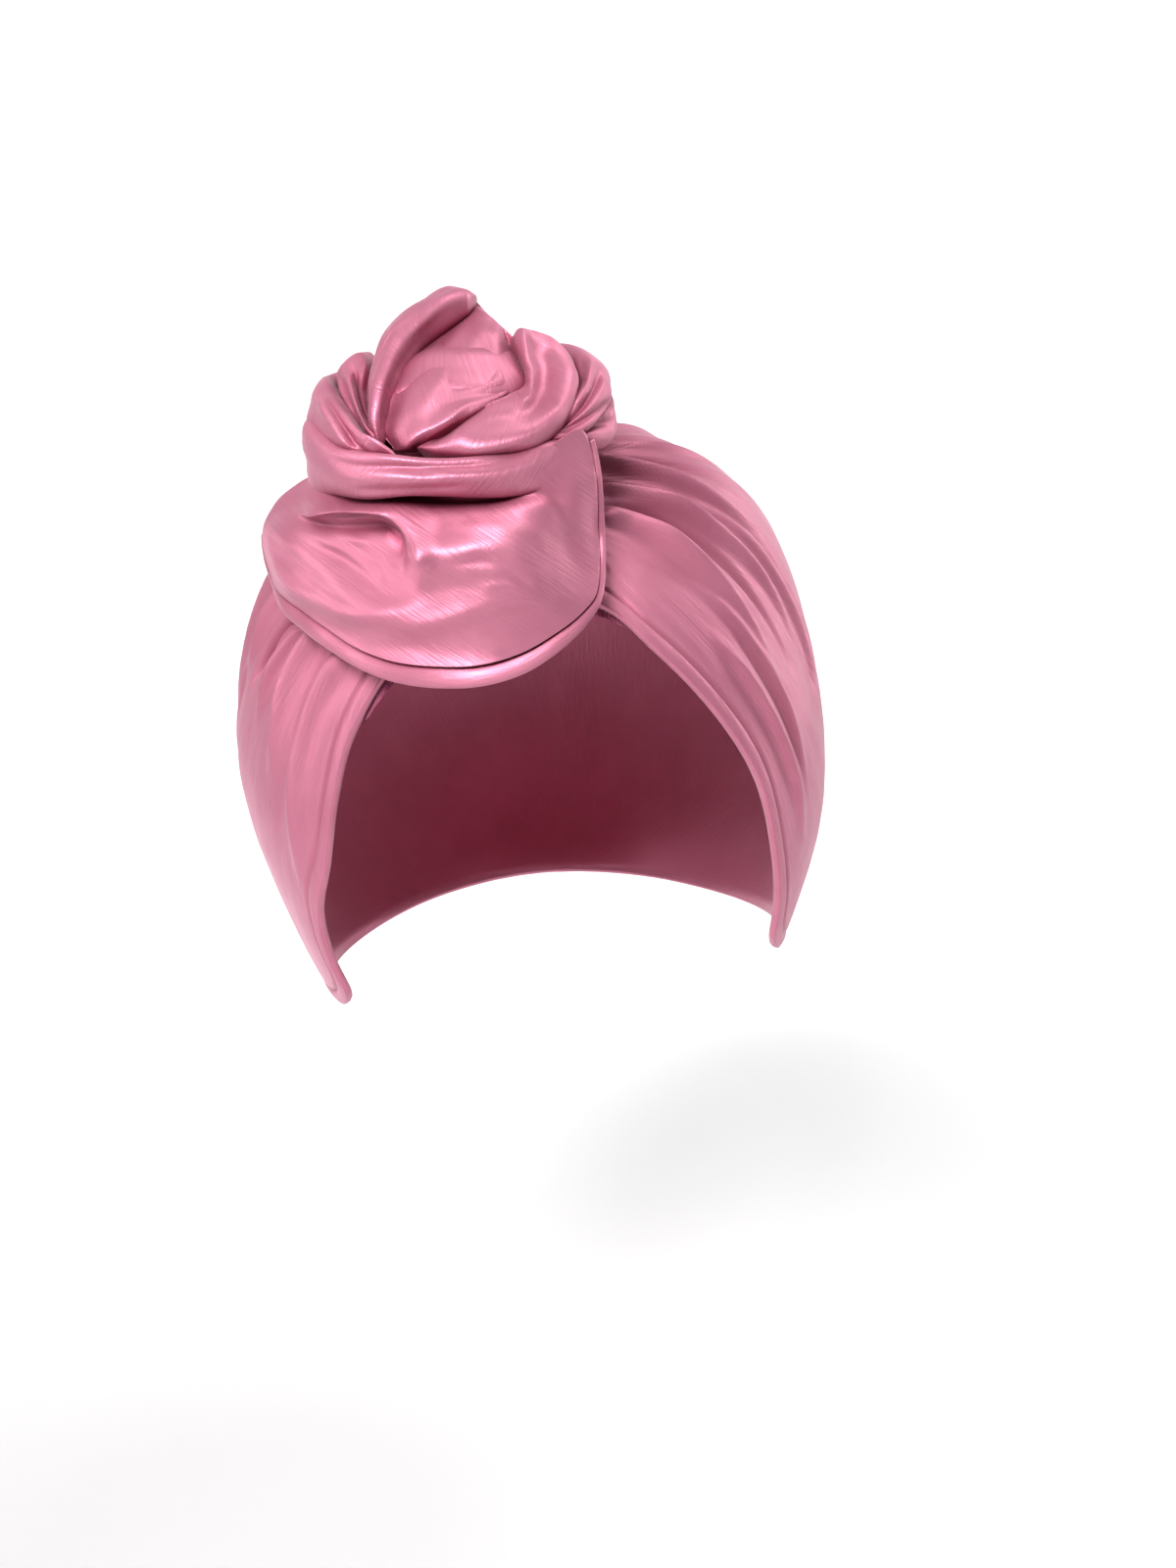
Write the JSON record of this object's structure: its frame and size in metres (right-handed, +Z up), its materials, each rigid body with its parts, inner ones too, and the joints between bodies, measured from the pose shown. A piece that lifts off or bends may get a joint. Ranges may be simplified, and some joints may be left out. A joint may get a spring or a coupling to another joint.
{
  "type": "turban headwrap",
  "caption": "Pre-tied satin turban headwrap: close gathered cap, twisted knot over the brow, rounded seamed end hanging in front, open below for the head.",
  "frame": {"origin": "where the crown of the head bears against the inside top of the cap", "axes": "+Z up along the head, the face towards -Y, +X towards the wearer's left"},
  "size_m": [0.1577, 0.2045, 0.1775],
  "materials": {
    "satin": "glossy pink satin with broad pale highlights",
    "knit_band": "matt crimson rib knit"
  },
  "bodies": {
    "root": {"crown_cap": "satin", "forehead_band": "knit_band", "hanging_end": "satin", "end_seam_edge": "satin", "front_wrap": "satin", "right_turn": "satin", "leaf_hood": "satin", "left_turn": "satin", "left_pleat": "satin", "centre_leaf": "satin", "right_wrap": "satin", "right_under_wrap": "satin", "back_wrap": "satin", "inner_twist": "satin"}
  },
  "joints": []
}
